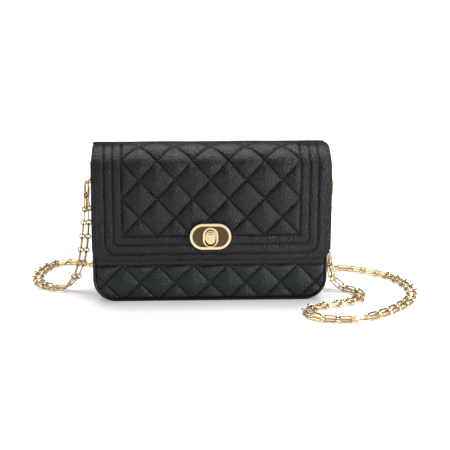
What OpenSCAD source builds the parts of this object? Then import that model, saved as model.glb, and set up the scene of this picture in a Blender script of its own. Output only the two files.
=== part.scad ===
// Small quilted crossbody purse: a boxed leather body with a turn-lock flap
// and a doubled chain strap that leaves the sides through metal eyelets.
// Frame: millimetres, +Z up, X along the width, the flap's face looks along -Y.
// Origin: centre of the base, on the surface the purse stands on.
// In names, hw is a half width, hl a half length, hh a half height, r a radius
// and t a thickness.

/* [Body] */
// Half width of the front and back panels
panel_hw = 94; // [92:0.5:96]
// Height of the body at its open mouth
mouth_z = 118; // [114:1:120]
// Outer face of the front and back panels, from the centre plane
panel_y = 21; // [20.5:0.1:21.2]
// Leather thickness of the panels
leather_t = 1.2; // [0.9:0.1:1.2]
// Radius of the panels' lower corners
corner_r = 16.5; // [14:0.5:18]
// Width of the rolled edge around each panel
edge_w = 2.3; // [1.8:0.1:2.3]
// Height up to which the front panel is quilted
quilt_z = 30.5; // [26:0.5:33]

/* [Flap] */
// Half width of the flap
flap_hw = 97.5; // [96.8:0.1:98.5]
// Lower edge of the flap
flap_z = 35.3; // [30:0.1:38]
// Radius of the flap's lower corners
flap_r = 11; // [6:0.5:16]
// Underside of the flap where it crosses the top
flap_under_z = 126.2; // [125.5:0.1:127]

/* [Turn lock] */
// Height of the lock's centre
lock_z = 56.7; // [52:0.1:60]
// Half length of the lock plate
plate_hl = 16.75; // [16.3:0.05:18]
// Half height of the lock plate
plate_hh = 10.75; // [10.6:0.05:12]
// Half length of the turning knob
knob_hl = 5.75; // [5.2:0.05:5.75]
// Half width of the turning knob
knob_hw = 3.8; // [3.2:0.05:3.9]

/* [Chain] */
// Wire radius of the chain
wire_r = 0.53; // [0.5:0.01:0.53]
// Ring radius, measured to the wire's centre
ring_r = 2.15; // [2.12:0.01:2.17]
// Half of a long link's inside length
link_in = 4.7; // [4.7:0.01:4.9]
// Half of a long link's width, measured to the wire's centre
link_hw = 1.45; // [1.4:0.01:1.5]
// Half distance between the two strands
strand_w = 2.75; // [2.7:0.05:2.8]
// Greatest length of chain taken by one ring and one link
pitch_max = 12.52; // [12.5:0.01:12.54]

/* [Eyelets] */
// Height of the eyelets' centres
eye_z = 96.5; // [92:0.5:100]
// Distance of the eyelets behind the centre plane
eye_y = 6; // [3:0.5:8]
// Bore radius of the eyelets
eye_r = 4.7; // [4.5:0.1:4.8]
// Distance from the centre plane to where the chain leaves an eyelet
eye_out = 98.2; // [98.1:0.05:98.4]

/* [Hidden] */

leather_c = "#26272b";
panel_c = "#2c2f31";
edge_c = "#101013";
gold_c = "#e0c48c";
dull_gold_c = "#c9a561";
cloth_c = "#4a4440";
board_c = "#8c7a60";
foam_c = "#d8d4c8";

gap = 0.1;                        // between neighbouring pieces
panel_foot = edge_w + gap;        // the panels' lower edge
panel_in = panel_y - leather_t;   // the panels' inner faces
gusset_hw = panel_hw + 1;
gusset_y = panel_in - gap;
gusset_t = 1.6;
lining_hw = panel_hw - 1.4;
lining_y = 17;
lining_t = 0.8;
lining_foot = 3.2;
pocket_y = lining_y - lining_t - gap;   // the pockets' faces against the lining

// ---------- shared shapes ----------

// a panel outline from foot to top: flat top, lower corners of radius r
module outline(hw, foot, top, r) {
    translate([-hw, foot + r]) square([2 * hw, top - foot - r]);
    translate([-hw + r, foot]) square([2 * (hw - r), top - foot]);
    for (s = [-1, 1]) translate([s * (hw - r), foot + r]) circle(r = r, $fn = 96);
}

// extrudes an X-Z outline between two values of y
module slab(y0, y1) {
    translate([0, y1, 0]) rotate([90, 0, 0]) linear_extrude(height = y1 - y0) children();
}

// a stadium: half length hl along X, half height hh
module stadium(hl, hh) {
    r = min(hl, hh);
    wide = hl > hh;
    for (s = [-1, 1]) translate([wide ? s * (hl - r) : 0, wide ? 0 : s * (hh - r)])
        circle(r = r, $fn = 64);
    square([2 * (wide ? hl - r : hl), 2 * (wide ? hh : hh - r)], center = true);
}

// a round hole or pin along Y between y0 and y1
module along_y(x, z, r, y0, y1) {
    translate([x, y1, z]) rotate([90, 0, 0]) cylinder(r = r, h = y1 - y0, $fn = 48);
}

// a rod along X between x0 and x1
module along_x(y, z, r, x0, x1) {
    translate([x0, y, z]) rotate([0, 90, 0]) cylinder(r = r, h = x1 - x0, $fn = 64);
}

// ---------- body ----------

board_in = 17.9;        // inner faces of the front and back boards
front_board_t = 1;
back_board_t = 1.5;
back_top_z = 122;       // the back panel stands above the mouth
padding_t = 0.8;
base_board_hw = panel_hw - corner_r - 1;
base_board_y = 17.5;
hinge_strip_z = 96;
hinge_strip_h = 25;

// holes in the front for the lock's spindle and the two screws of its base
spindle_hole_r = 1.35;
screw_x = 7.2;
screw_hole_r = 0.75;
module lock_holes(y0, y1, spindle_r = spindle_hole_r) {
    along_y(0, lock_z, spindle_r, y0, y1);
    for (s = [-1, 1]) along_y(s * screw_x, lock_z, screw_hole_r, y0, y1);
}

module front_panel() color(panel_c) difference() {
    slab(-panel_y, -panel_in) outline(panel_hw, panel_foot, mouth_z, corner_r);
    lock_holes(-panel_y - 1, -panel_y + 3);
}

module front_padding() color(foam_c)
    slab(-panel_in + 0.05, -panel_in + 0.05 + padding_t)
        outline(panel_hw - 2.2, panel_foot + 1.2, quilt_z, corner_r - 2.2);

module board_outline() { outline(panel_hw - 1, 2, mouth_z - 3, corner_r - 1); }

module front_board() color(board_c) difference() {
    slab(-board_in - front_board_t, -board_in) board_outline();
    lock_holes(-20, -17);
}

module back_panel() color(panel_c)
    slab(panel_in, panel_y) outline(panel_hw, panel_foot, back_top_z, corner_r);

module back_board() color(board_c) slab(board_in, board_in + back_board_t) board_outline();

// holes for both eyelets, through the gusset and the lining
module eyelet_holes() for (s = [-1, 1])
    along_x(eye_y, eye_z, eye_r + 0.9, s * 94 - 6, s * 94 + 6);

module gusset() color(leather_c) difference() {
    slab(-gusset_y, gusset_y) difference() {
        outline(gusset_hw, 0, mouth_z, corner_r + 1);
        outline(gusset_hw - gusset_t, gusset_t, mouth_z + 1, corner_r + 1 - gusset_t);
    }
    eyelet_holes();
}

module base_board() color(board_c)
    translate([-base_board_hw, -base_board_y, 1.8])
        cube([2 * base_board_hw, 2 * base_board_y, 1.2]);

// the rolled edge around a panel
module piping(y0, y1) color(edge_c) slab(y0, y1) difference() {
    outline(panel_hw + panel_foot, 0, mouth_z, corner_r + panel_foot);
    outline(panel_hw + gap, edge_w, mouth_z + 1, corner_r + gap);
}

module front_piping() { piping(-panel_y - 0.8, -panel_in); }
module back_piping() { piping(panel_in, panel_y + 0.8); }

module lining() color(cloth_c) difference() {
    slab(-lining_y, lining_y)
        outline(lining_hw, lining_foot, mouth_z - 1, corner_r - 1.5);
    slab(-lining_y + lining_t, lining_y - lining_t)
        outline(lining_hw - lining_t, lining_foot + lining_t, mouth_z + 1,
            corner_r - 1.5 - lining_t);
    eyelet_holes();
}

// on the inside of the front wall
pocket_hw = 55;
module slip_pocket() color(cloth_c)
    translate([-pocket_hw, -pocket_y, 22]) cube([2 * pocket_hw, 0.9, 62]);

// joins the back panel to the flap, on the panel's outside
module hinge_strip() color(leather_c) slab(panel_y + gap, panel_y + 1.4)
    translate([-panel_hw + 0.2, hinge_strip_z]) square([2 * panel_hw - 0.4, hinge_strip_h]);

// ---------- inside zip pocket, on the back wall ----------

zip_z = 93;
zip_hw = 62;
tape_t = 0.7;
tape_h = 6;
tape_off = 1.2;      // from the zip's line to each tape
tooth_count = 40;
tooth_pitch = 3;
slider_x = -54;
bail_y = 10.9;       // the axis the pull turns on
bail_r = 0.7;
pull_len = 14;
pull_h = 3.4;
pull_t = 1.1;

module zip_tape(z0) color(edge_c)
    translate([-zip_hw, pocket_y - tape_t, z0]) cube([2 * zip_hw, tape_t, tape_h]);
module zip_tape_upper() { zip_tape(zip_z + tape_off); }
module zip_tape_lower() { zip_tape(zip_z - tape_off - tape_h); }

module zip_teeth() color(dull_gold_c) for (i = [0:tooth_count - 1])
    translate([tooth_pitch * (i - (tooth_count - 1) / 2), 14.6, zip_z - 1 + (i % 2) * 0.35])
        cube([1.5, 1.3, 1.65]);

// the slider wraps the teeth from the front and carries a bail for the pull
module zip_slider() color(gold_c) union() {
    difference() {
        translate([slider_x - 4.5, 13, zip_z - 3]) cube([9, 2.2, 6]);
        translate([slider_x - 6, 14, zip_z - 1.4]) cube([12, 3, 2.8]);
    }
    translate([slider_x, bail_y, zip_z - 2.9]) cylinder(r = bail_r, h = 5.8, $fn = 32);
    for (s = [-1, 1])
        translate([slider_x - bail_r, bail_y, zip_z + s * 2.45 - 0.45])
            cube([2 * bail_r, 2.4, 0.9]);
}

// a tongue with an eye around the bail and a holed round end
module zip_pull() color(dull_gold_c) difference() {
    union() {
        translate([slider_x, bail_y, zip_z - pull_h / 2])
            cylinder(r = 1.6, h = pull_h, $fn = 48);
        translate([slider_x, 10.2, zip_z - pull_h / 2]) cube([pull_len, pull_t, pull_h]);
        translate([slider_x + pull_len, 10.2 + pull_t, zip_z]) rotate([90, 0, 0])
            cylinder(r = 2.6, h = pull_t, $fn = 48);
    }
    translate([slider_x, bail_y, zip_z - 3]) cylinder(r = bail_r + 0.08, h = 6, $fn = 32);
    translate([slider_x + pull_len, 12, zip_z]) rotate([90, 0, 0])
        cylinder(r = 1.1, h = 3, $fn = 32);
}

// ---------- eyelets and the chain's anchors ----------
// side is -1 on the left and 1 on the right

flange_r = eye_r + 3;
flange_x = gusset_hw + gap;               // inner face of an eyelet's flange
washer_x = lining_hw - lining_t - gap;    // outer face of a washer
// a bar inside the purse that both strands hang on, too long to pull through
anchor_x = eye_out - 2 * link_in + wire_r + 0.2;
anchor_hl = 7;

// moves a piece drawn on the left to its side
module on_side(side) mirror([side > 0 ? 1 : 0, 0, 0]) children();

module eyelet(side) color(gold_c) on_side(side) difference() {
    union() {
        along_x(eye_y, eye_z, eye_r + 0.8, -flange_x - 1.1, -washer_x + 1.1);
        along_x(eye_y, eye_z, flange_r, -flange_x - 1.3, -flange_x);
    }
    along_x(eye_y, eye_z, eye_r, -98, -90);
}
module eyelet_washer(side) color(dull_gold_c) on_side(side) difference() {
    along_x(eye_y, eye_z, flange_r, -washer_x, -washer_x + 0.8);
    along_x(eye_y, eye_z, eye_r + 0.85, -92, -90);
}
module left_eyelet() { eyelet(-1); }
module right_eyelet() { eyelet(1); }
module left_eyelet_washer() { eyelet_washer(-1); }
module right_eyelet_washer() { eyelet_washer(1); }

module anchor_bar(side) color(dull_gold_c)
    translate([side * anchor_x, eye_y, eye_z]) rotate([90, 0, 0]) union() {
        translate([0, 0, -anchor_hl]) cylinder(r = 0.55, h = 2 * anchor_hl, $fn = 32);
        for (s = [-1, 1]) translate([0, 0, s * anchor_hl]) sphere(r = 1.2, $fn = 32);
    }
module left_anchor_bar() { anchor_bar(-1); }
module right_anchor_bar() { anchor_bar(1); }

// ---------- chain pieces ----------

module ring() rotate_extrude($fn = 48) translate([ring_r, 0]) circle(r = wire_r, $fn = 24);

// a long link: its long axis is X and its width is Y
module link() {
    straight = link_in + wire_r - link_hw;
    for (s = [0, 1]) mirror([s, 0, 0]) translate([straight, 0, 0]) rotate([0, 0, -90])
        rotate_extrude(angle = 180, $fn = 48) translate([link_hw, 0])
            circle(r = wire_r, $fn = 24);
    for (s = [-1, 1]) along_x(s * link_hw, 0, wire_r, -straight, straight);
}

// the last link of each strand reaches through the eyelet to the anchor bar
module anchor_links(side) color(gold_c) for (s = [-1, 1])
    translate([side * (eye_out + 0.1 - link_in), eye_y + s * strand_w, eye_z])
        rotate([90, 0, 0]) link();
module left_anchor_links() { anchor_links(-1); }
module right_anchor_links() { anchor_links(1); }

// ---------- strap ----------

lie_z = 2.3;   // height of the strap's centre where it lies on the ground

// The strap's course from the left eyelet to the right one: x, y, z and the
// direction, in degrees, in which the first strand lies beside the second.
COURSE = [
    [-eye_out, eye_y, eye_z - 0.3, 270], [-100.9, eye_y, eye_z - 1.9, 270],
    [-101.7, 6.2, 89.5, 266], [-101.9, 7, 76, 246], [-102.8, 8, 61, 224],
    [-104.2, 9, 47, 210], [-106.3, 10, 32, 206], [-109.8, 10, 17.5, 215],
    [-115.2, 8.8, 8.3, 236], [-122.5, 8.5, lie_z + 0.55, 245],
    [-131, 10, lie_z, 248.63],                                          // 10
    [-139.5, 15.2, lie_z, 222], [-147, 30, lie_z, 187], [-148, 48, lie_z, 168],
    [-144, 65.5, lie_z, 155], [-136, 81, lie_z, 126], [-122.6, 86.6, lie_z, 92],
    [-104, 79, lie_z, 68.63],                                           // 17
    [-84, 72.2, lie_z, 84], [-45, 84, lie_z, 100], [0, 89, lie_z, 91],
    [45, 84, lie_z, 80], [98, 60.2, lie_z, 78],
    [114, 58.5, lie_z, 84.11],                                          // 23
    [128, 57.1, lie_z, 78], [142, 48.5, lie_z, 58], [155, 37, lie_z, 43],
    [164.5, 21, lie_z, 22], [169.5, 3, lie_z, 7], [169.5, -13, lie_z, -9],
    [164, -31, lie_z, -26], [154, -46, lie_z, -38], [140, -60.5, lie_z, -49],
    [125, -71.5, lie_z, -64], [110, -77.4, lie_z, -84],
    [100, -77.3, lie_z, -95.89],                                        // 35
    [90, -75.33, lie_z, -112], [80.3, -68.8, lie_z, -149.2], [76.4, -58.9, lie_z, -183.6],
    [81.7, -48.2, lie_z, -226], [91.5, -42.8, lie_z, -241], [102, -38.8, lie_z, -243],
    [112, -34.5, lie_z, -240], [122, -27.3, lie_z, -225], [125.5, -17.7, lie_z, -190],
    [123, -7.3, lie_z, -153],
    [114.9, -0.2, lie_z + 0.35, -130],                                  // 46
    [107.1, 3.6, 7.2, -124], [103.9, 5, 14, -120], [102, 6, 25, -110],
    [100.6, 6, 40, -100], [100.2, 6, 56, -92], [100.6, 6, 74, -90],
    [101.5, 6, 88.6, -90], [100.95, eye_y, eye_z - 2, -90],
    [eye_out, eye_y, eye_z - 0.35, -90]];                               // 55
course_end = len(COURSE) - 1;
STEPS = 14;   // points of a strand for each step of the course

// The runs of the strap: first and last point of the course, and how far in
// degrees the pieces lean over.
LEFT_HANG = [0, 10, 45];
LEFT_LOOP = [10, 17, 32];
BACK_RUN = [17, 23, 45];
RIGHT_LOOP = [23, 35, 36];
RIGHT_FOLD = [35, 46, 40];
RIGHT_HANG = [46, 55, 45];

function unit(v) = v / norm(v);
function xyz(p) = [p.x, p.y, p.z];
// Catmull-Rom curve from p1 to p2
function spline(p0, p1, p2, p3, t) = 0.5 * (2 * p1 + (p2 - p0) * t
    + (2 * p0 - 5 * p1 + 4 * p2 - p3) * t * t + (3 * p1 - p0 - 3 * p2 + p3) * t * t * t);
function knot(i) = COURSE[min(max(i, 0), course_end)];

// points of one strand between two points of the course; side is -1 or 1
function strand(first, last, side) = [for (k = [first * STEPS:last * STEPS])
    let (i = min(floor(k / STEPS), last - 1), t = k / STEPS - i,
        p = spline(knot(i - 1), knot(i), knot(i + 1), knot(i + 2), t))
    [p.x + side * strand_w * cos(p[3]), p.y + side * strand_w * sin(p[3]), p.z, p[3]]];
// distance along a strand to each of its points
function lengths(pts) = [for (i = 0, sum = 0; i < len(pts);
    sum = sum + (i + 1 < len(pts) ? norm(xyz(pts[i + 1]) - xyz(pts[i])) : 0), i = i + 1) sum];
// last index from low to before high whose distance is no more than s
function below(dist, s, low, high) = high - low <= 1 ? low
    : let (mid = floor((low + high) / 2))
        dist[mid] <= s ? below(dist, s, mid, high) : below(dist, s, low, mid);
// the strand's point at distance s
function along(pts, dist, s) = let (i = below(dist, s, 0, len(dist) - 1))
    pts[i] + (pts[i + 1] - pts[i]) * (s - dist[i]) / (dist[i + 1] - dist[i]);

// where a chain piece lies, as centre, direction and side: from the middle of
// its span, the span's vector, the strands' direction and the roll
function placed(middle, span, angle, roll) =
    let (dir = unit(span), flat = [cos(angle), sin(angle), 0],
        side = unit(flat - dir * (flat * dir)))
    [middle, dir, side * cos(roll) + cross(dir, side) * sin(roll)];
module place(frame) {
    c = frame[0];
    dir = frame[1];
    side = frame[2];
    up = cross(dir, side);
    multmatrix([[dir.x, side.x, up.x, c.x], [dir.y, side.y, up.y, c.y],
        [dir.z, side.z, up.z, c.z], [0, 0, 0, 1]]) children();
}

// length of strap that one ring takes up
ring_span = 2 * (ring_r - wire_r) - 0.2;
// a ring that starts at distance s on a strand
function ring_at(pts, dist, s, roll) =
    let (a = along(pts, dist, s), b = along(pts, dist, s + ring_span))
    placed((xyz(a) + xyz(b)) / 2, xyz(b) - xyz(a), (a[3] + b[3]) / 2, roll);
// the point of a ring's wire that a link leaving along v pulls on
function hook(ring, v) = let (axis = cross(ring[1], ring[2]))
    ring[0] + ring_r * unit(v - axis * (axis * v));
// a link hooked over two rings
function link_at(ring1, ring2, angle, roll) =
    let (v = ring2[0] - ring1[0], a = hook(ring1, v), b = hook(ring2, -v))
    placed((a + b) / 2, b - a, angle, roll);

// Rings and long links in turn along a run, on both strands. A run starts on a
// ring and ends on a link; the last run ends on a ring at the eyelet. Pieces at
// a run's ends don't lean, so that the next run can turn about its ring.
// part: "rings" or "links", the pieces to draw
module chain(run, part) color(gold_c) for (side = [-1, 1]) {
    pts = strand(run[0], run[1], side);
    dist = lengths(pts);
    total = dist[len(dist) - 1];
    is_last = run[1] == course_end;
    used = total - (is_last ? ring_span : 0);
    count = ceil(used / pitch_max);
    pitch = used / count;
    piece_end = 2 * count + (is_last ? 1 : 0);
    to_end = is_last ? piece_end - 1 : piece_end;
    lean = [for (j = [0:piece_end]) run[2] * max(0, min(1, min(j, to_end - j) / 4))];
    next = strand(run[1], min(run[1] + 1, course_end), side);
    for (k = [0:count - 1]) {
        ring1 = ring_at(pts, dist, k * pitch, lean[2 * k]);
        if (part == "rings") place(ring1) ring();
        else {
            ring2 = k < count - 1 || is_last
                ? ring_at(pts, dist, (k + 1) * pitch, lean[2 * k + 2])
                : ring_at(next, lengths(next), 0, 0);
            a = along(pts, dist, k * pitch + ring_span);
            b = along(pts, dist, min((k + 1) * pitch, total - 0.01));
            place(link_at(ring1, ring2, (a[3] + b[3]) / 2, 90 + lean[2 * k + 1])) link();
        }
    }
    if (is_last && part == "rings") place(ring_at(pts, dist, used - 0.001, 0)) ring();
}

module left_hang_rings() { chain(LEFT_HANG, "rings"); }
module left_hang_links() { chain(LEFT_HANG, "links"); }
module left_loop_rings() { chain(LEFT_LOOP, "rings"); }
module left_loop_links() { chain(LEFT_LOOP, "links"); }
module back_run_rings() { chain(BACK_RUN, "rings"); }
module back_run_links() { chain(BACK_RUN, "links"); }
module right_loop_rings() { chain(RIGHT_LOOP, "rings"); }
module right_loop_links() { chain(RIGHT_LOOP, "links"); }
module right_fold_rings() { chain(RIGHT_FOLD, "rings"); }
module right_fold_links() { chain(RIGHT_FOLD, "links"); }
module right_hang_rings() { chain(RIGHT_HANG, "rings"); }
module right_hang_links() { chain(RIGHT_HANG, "links"); }

// ---------- turn lock, body side ----------

base_y = -panel_y - 1.2;        // front face of the lock's base
lock_back_y = -lining_y - gap;  // back of the spindle and its washer
spindle_r = 1.2;
bore_r = spindle_r + 0.06;
// the knob's steps: front y, back y, inset of its half width and half length
KNOB_STEPS = [[-30.6, -29, 0, 0], [-31.6, -30.6, 0.8, 1.2], [-32.4, -31.6, 1.8, 2.6]];

module base_shape() translate([0, lock_z]) stadium(9.5, 6.3);

module lock_base() color(gold_c) difference() {
    slab(base_y, -panel_y - 0.05) base_shape();
    lock_holes(-panel_y - 3, -panel_y + 1, bore_r);
}
module lock_base_screws() color(dull_gold_c) for (s = [-1, 1])
    along_y(s * screw_x, lock_z, 0.65, base_y, -board_in);
module lock_spindle() color(dull_gold_c) along_y(0, lock_z, spindle_r, -30.2, lock_back_y);
module lock_washer() color(dull_gold_c) difference() {
    slab(lock_back_y - 0.7, lock_back_y) base_shape();
    along_y(0, lock_z, bore_r, -19, -16);
}
// the knob turns on the spindle; upright it passes the plate's slot,
// crosswise it holds the flap
module turn_knob() color(gold_c) difference() {
    union() {
        along_y(0, lock_z, 2.4, -29.1, -22.4);
        for (step = KNOB_STEPS) slab(step[0], step[1])
            translate([0, lock_z]) stadium(knob_hw - step[2], knob_hl - step[3]);
    }
    along_y(0, lock_z, bore_r, -30.5, -20);
}

// ---------- flap front and lock plate ----------

flap_y = -26.15;        // front face of the flap's leather
flap_layer_t = 1;       // leather, padding and board
flap_lining_t = 0.6;
flap_face_top = 108;
rivet_x = 12.9;
plate_y = -27.6;        // front face of the plate, behind its rim
backing_hl = 15;
backing_hh = 10.5;

// front face of a layer, counted from the leather
function layer_y(i) = flap_y + i * (flap_layer_t + 0.05);

// the opening that the knob passes: up and down reach from the lock's centre
module knob_way(hw, up, down)
    translate([0, lock_z + (up - down) / 2]) stadium(hw, (up + down) / 2);

// a cut through every layer of the flap
module flap_cut() slab(-30, -20) children();

module rivet_holes(r) for (s = [-1, 1]) along_y(s * rivet_x, lock_z, r, -30, -20);

module flap_face(i, t, inset, top) slab(layer_y(i), layer_y(i) + t)
    outline(flap_hw - inset, flap_z + inset, top, flap_r - inset);

module flap_layer(i, inset, top) difference() {
    flap_face(i, flap_layer_t, inset, top);
    flap_cut() knob_way(5.7, 7.2, 10.1);
    rivet_holes(0.9);
}
module flap_front_leather() color(leather_c) flap_layer(0, 0, flap_face_top);
module flap_front_padding() color(foam_c) flap_layer(1, 3, flap_face_top - 1);
module flap_front_board() color(board_c) flap_layer(2, 3, flap_face_top - 1);
module flap_front_lining() color(cloth_c) difference() {
    flap_face(3, flap_lining_t, 0.6, flap_face_top);
    flap_cut() translate([0, lock_z]) stadium(backing_hl + 0.3, backing_hh + 0.3);
}
// lies in the lining's opening
module lock_plate_backing() color(dull_gold_c) difference() {
    slab(layer_y(3), layer_y(3) + flap_lining_t)
        translate([0, lock_z]) stadium(backing_hl, backing_hh);
    flap_cut() knob_way(5.7, 7.2, 10);
    rivet_holes(0.86);
}
module lock_plate_rivets() color(dull_gold_c) for (s = [-1, 1])
    along_y(s * rivet_x, lock_z, 0.8, -26.18, -22.35);
// a plate with a raised rim and a collar around the knob's slot
module lock_plate() color(gold_c) difference() {
    union() {
        slab(plate_y, flap_y - 0.05) translate([0, lock_z]) stadium(plate_hl, plate_hh);
        slab(plate_y - 0.7, plate_y) translate([0, lock_z]) difference() {
            stadium(plate_hl, plate_hh);
            stadium(plate_hl - 2, plate_hh - 2);
        }
        slab(plate_y - 0.9, plate_y) knob_way(6.2, 7.6, 8.6);
    }
    flap_cut() knob_way(4.7, 6.1, 8);
}

// ---------- flap top ----------

// a layer across the top from z0 to z1; inset narrows it in X, inset_y in Y
module flap_top(z0, z1, inset, inset_y = 0)
    translate([-flap_hw + inset, -8 + inset_y, z0])
        cube([2 * (flap_hw - inset), 22 - 2 * inset_y, z1 - z0]);
module flap_top_leather() color(leather_c) flap_top(128.4, 129.5, 0.5);
module flap_top_board() color(board_c) flap_top(127, 128.3, 4, 2);
module flap_top_lining() color(cloth_c) flap_top(flap_under_z, 126.9, 1);

front_panel();
front_padding();
front_board();
back_panel();
back_board();
gusset();
base_board();
front_piping();
back_piping();
lining();
slip_pocket();
zip_tape_upper();
zip_tape_lower();
zip_teeth();
zip_slider();
zip_pull();
hinge_strip();
left_eyelet();
right_eyelet();
left_eyelet_washer();
right_eyelet_washer();
left_anchor_bar();
right_anchor_bar();
left_anchor_links();
right_anchor_links();
lock_base();
lock_base_screws();
lock_spindle();
lock_washer();
turn_knob();
flap_top_leather();
flap_top_board();
flap_top_lining();
flap_front_leather();
flap_front_padding();
flap_front_board();
flap_front_lining();
lock_plate();
lock_plate_backing();
lock_plate_rivets();
left_hang_rings();
left_hang_links();
left_loop_rings();
left_loop_links();
back_run_rings();
back_run_links();
right_loop_rings();
right_loop_links();
right_fold_rings();
right_fold_links();
right_hang_rings();
right_hang_links();
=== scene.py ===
"""A flap handbag in black quilted leather with gilt fittings.

It stands on z = 0 with its front towards -y and its width along x. The flap hinges at
the top back edge, runs forward over the top and hangs down the front to the turn lock.
Shapes are worked out in millimetres and become metres in make_object. The metal pieces
and the boards are the CAD ones, given new materials. Lights, camera and floor are in metres.
"""
import bpy
import math
import numpy as np
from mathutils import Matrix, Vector


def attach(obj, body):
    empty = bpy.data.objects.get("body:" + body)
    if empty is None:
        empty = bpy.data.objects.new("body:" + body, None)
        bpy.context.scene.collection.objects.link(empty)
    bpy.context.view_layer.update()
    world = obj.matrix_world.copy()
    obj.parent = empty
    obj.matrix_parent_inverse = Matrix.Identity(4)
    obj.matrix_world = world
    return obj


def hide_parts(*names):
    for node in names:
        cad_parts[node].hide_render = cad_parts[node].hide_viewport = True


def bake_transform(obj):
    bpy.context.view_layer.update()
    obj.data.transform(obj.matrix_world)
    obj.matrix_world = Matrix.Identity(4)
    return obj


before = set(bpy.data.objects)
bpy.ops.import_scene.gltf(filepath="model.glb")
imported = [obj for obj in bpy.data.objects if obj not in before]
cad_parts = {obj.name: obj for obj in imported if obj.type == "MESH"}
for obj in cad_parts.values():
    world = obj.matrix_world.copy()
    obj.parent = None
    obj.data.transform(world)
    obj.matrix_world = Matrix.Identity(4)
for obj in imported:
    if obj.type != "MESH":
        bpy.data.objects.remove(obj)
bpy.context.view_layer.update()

# ---------------------------------------------------------------- sizes, mm
# Flap outline: a U with rounded lower corners
FLAP_HALF, FLAP_LOW, FLAP_CORNER = 97.5, 35.3, 11.0
FLAP_INNER = -1.55              # inner face of the leather, from the valley surface
WINDOW_HALF, WINDOW_Z = 72.3, 56.7      # quilted window: half width, bottom line
# U seams that frame the window: half width, lowest z, corner radius
FRAME_SEAMS = [(86.5, 41.6, 9.0), (79.5, 49.3, 4.0), (WINDOW_HALF, WINDOW_Z, 0.6)]
LOCK_Z = WINDOW_Z
PLATE_HALF, PLATE_END = 16.75, 10.75    # lock plate: half length, end radius
HEM = 2.0                       # the flap's edge stitching, in from its outline

# The flap's bend from the front up on to the top
BEND_Y, BEND_Z, TOP_Z = -6.5, 109.0, 127.5
BEND_R = TOP_Z - BEND_Z
FRONT_Y = BEND_Y - BEND_R
TOP_BACK_Y = 11.5
# Arc lengths s along the flap, from the window's bottom line
S_LOW = FLAP_LOW - WINDOW_Z
S_FRONT = BEND_Z - WINDOW_Z
S_BEND = S_FRONT + BEND_R * math.pi / 2
S_END = S_BEND + (TOP_BACK_Y - BEND_Y)

# Quilting pitch across, along the flap, and up the body panels
QUILT_X, FLAP_PITCH, PANEL_PITCH = 28.9, 31.0, 30.4
PANEL_QUILT_Z = 30.7            # where the panels' diamonds are counted from

# Body: half width, corner radius, lowest z, mouth, inner face of the panels
BODY_HALF, BODY_CORNER, BODY_LOW, MOUTH = 94.0, 16.5, 2.4, 118.0
PANEL_INNER_Y = 19.85
EYELET_Y, EYELET_Z, EYELET_HOLE_R = 6.0, 96.5, 5.4
ROW = 0.62                      # mesh row spacing on quilted leather

THREAD_R, THREAD_FLAT, THREAD_SIDES = 0.26, 0.75, 6
THREAD_LIFT = 0.12
THREAD_SAG = 0.22               # how far a stitch's ends dip
STITCH_PITCH, STITCH_LENGTH = 3.1, 2.35
PLATE_CLEAR = 0.6               # seams stop this far from the lock plate


# ---------------------------------------------------------------- shape functions
def wob(x, y):
    """Smooth, repeatable unevenness between about -1 and 1."""
    return (np.sin(x * 0.113 + 1.3 * np.sin(y * 0.071 + 0.7)) * 0.5
            + np.sin(y * 0.157 + 1.1 * np.sin(x * 0.089 + 2.1)) * 0.32
            + np.sin((x + y) * 0.31 + 1.9) * 0.18)


def ease(t):
    t = np.clip(t, 0, 1)
    return t * t * (3 - 2 * t)


def rise(distance, width):
    """0 at distance 0, levelling out at 1 over a few widths."""
    return 1 - np.exp(-np.maximum(distance, 0) / width)


def u_distance(x, z, half, low, radius):
    """Signed distance to a U outline, negative inside."""
    dx = np.abs(x) - (half - radius)
    dz = (low + radius) - z
    in_corner = (dx > 0) & (dz > 0)
    return np.where(in_corner, np.hypot(dx, dz) - radius, np.maximum(dx, dz) - radius)


def u_half_width(z, half, low, radius):
    """Half width of a U outline at height z."""
    drop = np.clip(low + radius - z, 0, radius)
    return half - radius + np.sqrt(np.maximum(radius ** 2 - drop ** 2, 0))


def corner_rows(low, radius, count):
    """Row heights that follow a rounded lower corner."""
    return low + radius * (1 - np.cos(np.linspace(0, math.pi / 2, count)))


def u_path(half, low, radius, top, step=1.5, corner_count=20):
    """A U from the left mouth round to the right: rows of x, z, outward x, outward z."""
    rows = []
    height, width = top - low - radius, 2 * (half - radius)
    up_count, across_count = int(height / step), int(width / step)
    angles = [math.pi / 2 * i / corner_count for i in range(corner_count)]
    for i in range(up_count):
        rows.append((-half, top - height * i / up_count, -1, 0))
    for a in angles:
        rows.append((-half + radius - radius * math.cos(a), low + radius - radius * math.sin(a),
                     -math.cos(a), -math.sin(a)))
    for i in range(across_count):
        rows.append((-half + radius + width * i / across_count, low, 0, -1))
    for a in angles:
        rows.append((half - radius + radius * math.sin(a), low + radius - radius * math.cos(a),
                     math.sin(a), -math.cos(a)))
    for i in range(up_count + 1):
        rows.append((half, low + radius + height * i / up_count, 1, 0))
    return np.array(rows)


def lattice(x, s, pitch):
    """Distances to the two families of diagonal seams, and the run along each."""
    spacing = 1 / math.hypot(1 / QUILT_X, 1 / pitch)
    p = x / QUILT_X + s / pitch - 0.5
    q = x / QUILT_X - s / pitch - 0.5
    to_p = np.abs(p - np.round(p)) * spacing
    to_q = np.abs(q - np.round(q)) * spacing
    half_diagonal = math.hypot(QUILT_X, pitch) / 2
    along_p = (x / QUILT_X - s / pitch) * half_diagonal
    along_q = (x / QUILT_X + s / pitch) * half_diagonal
    return to_p, to_q, along_p, along_q


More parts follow.
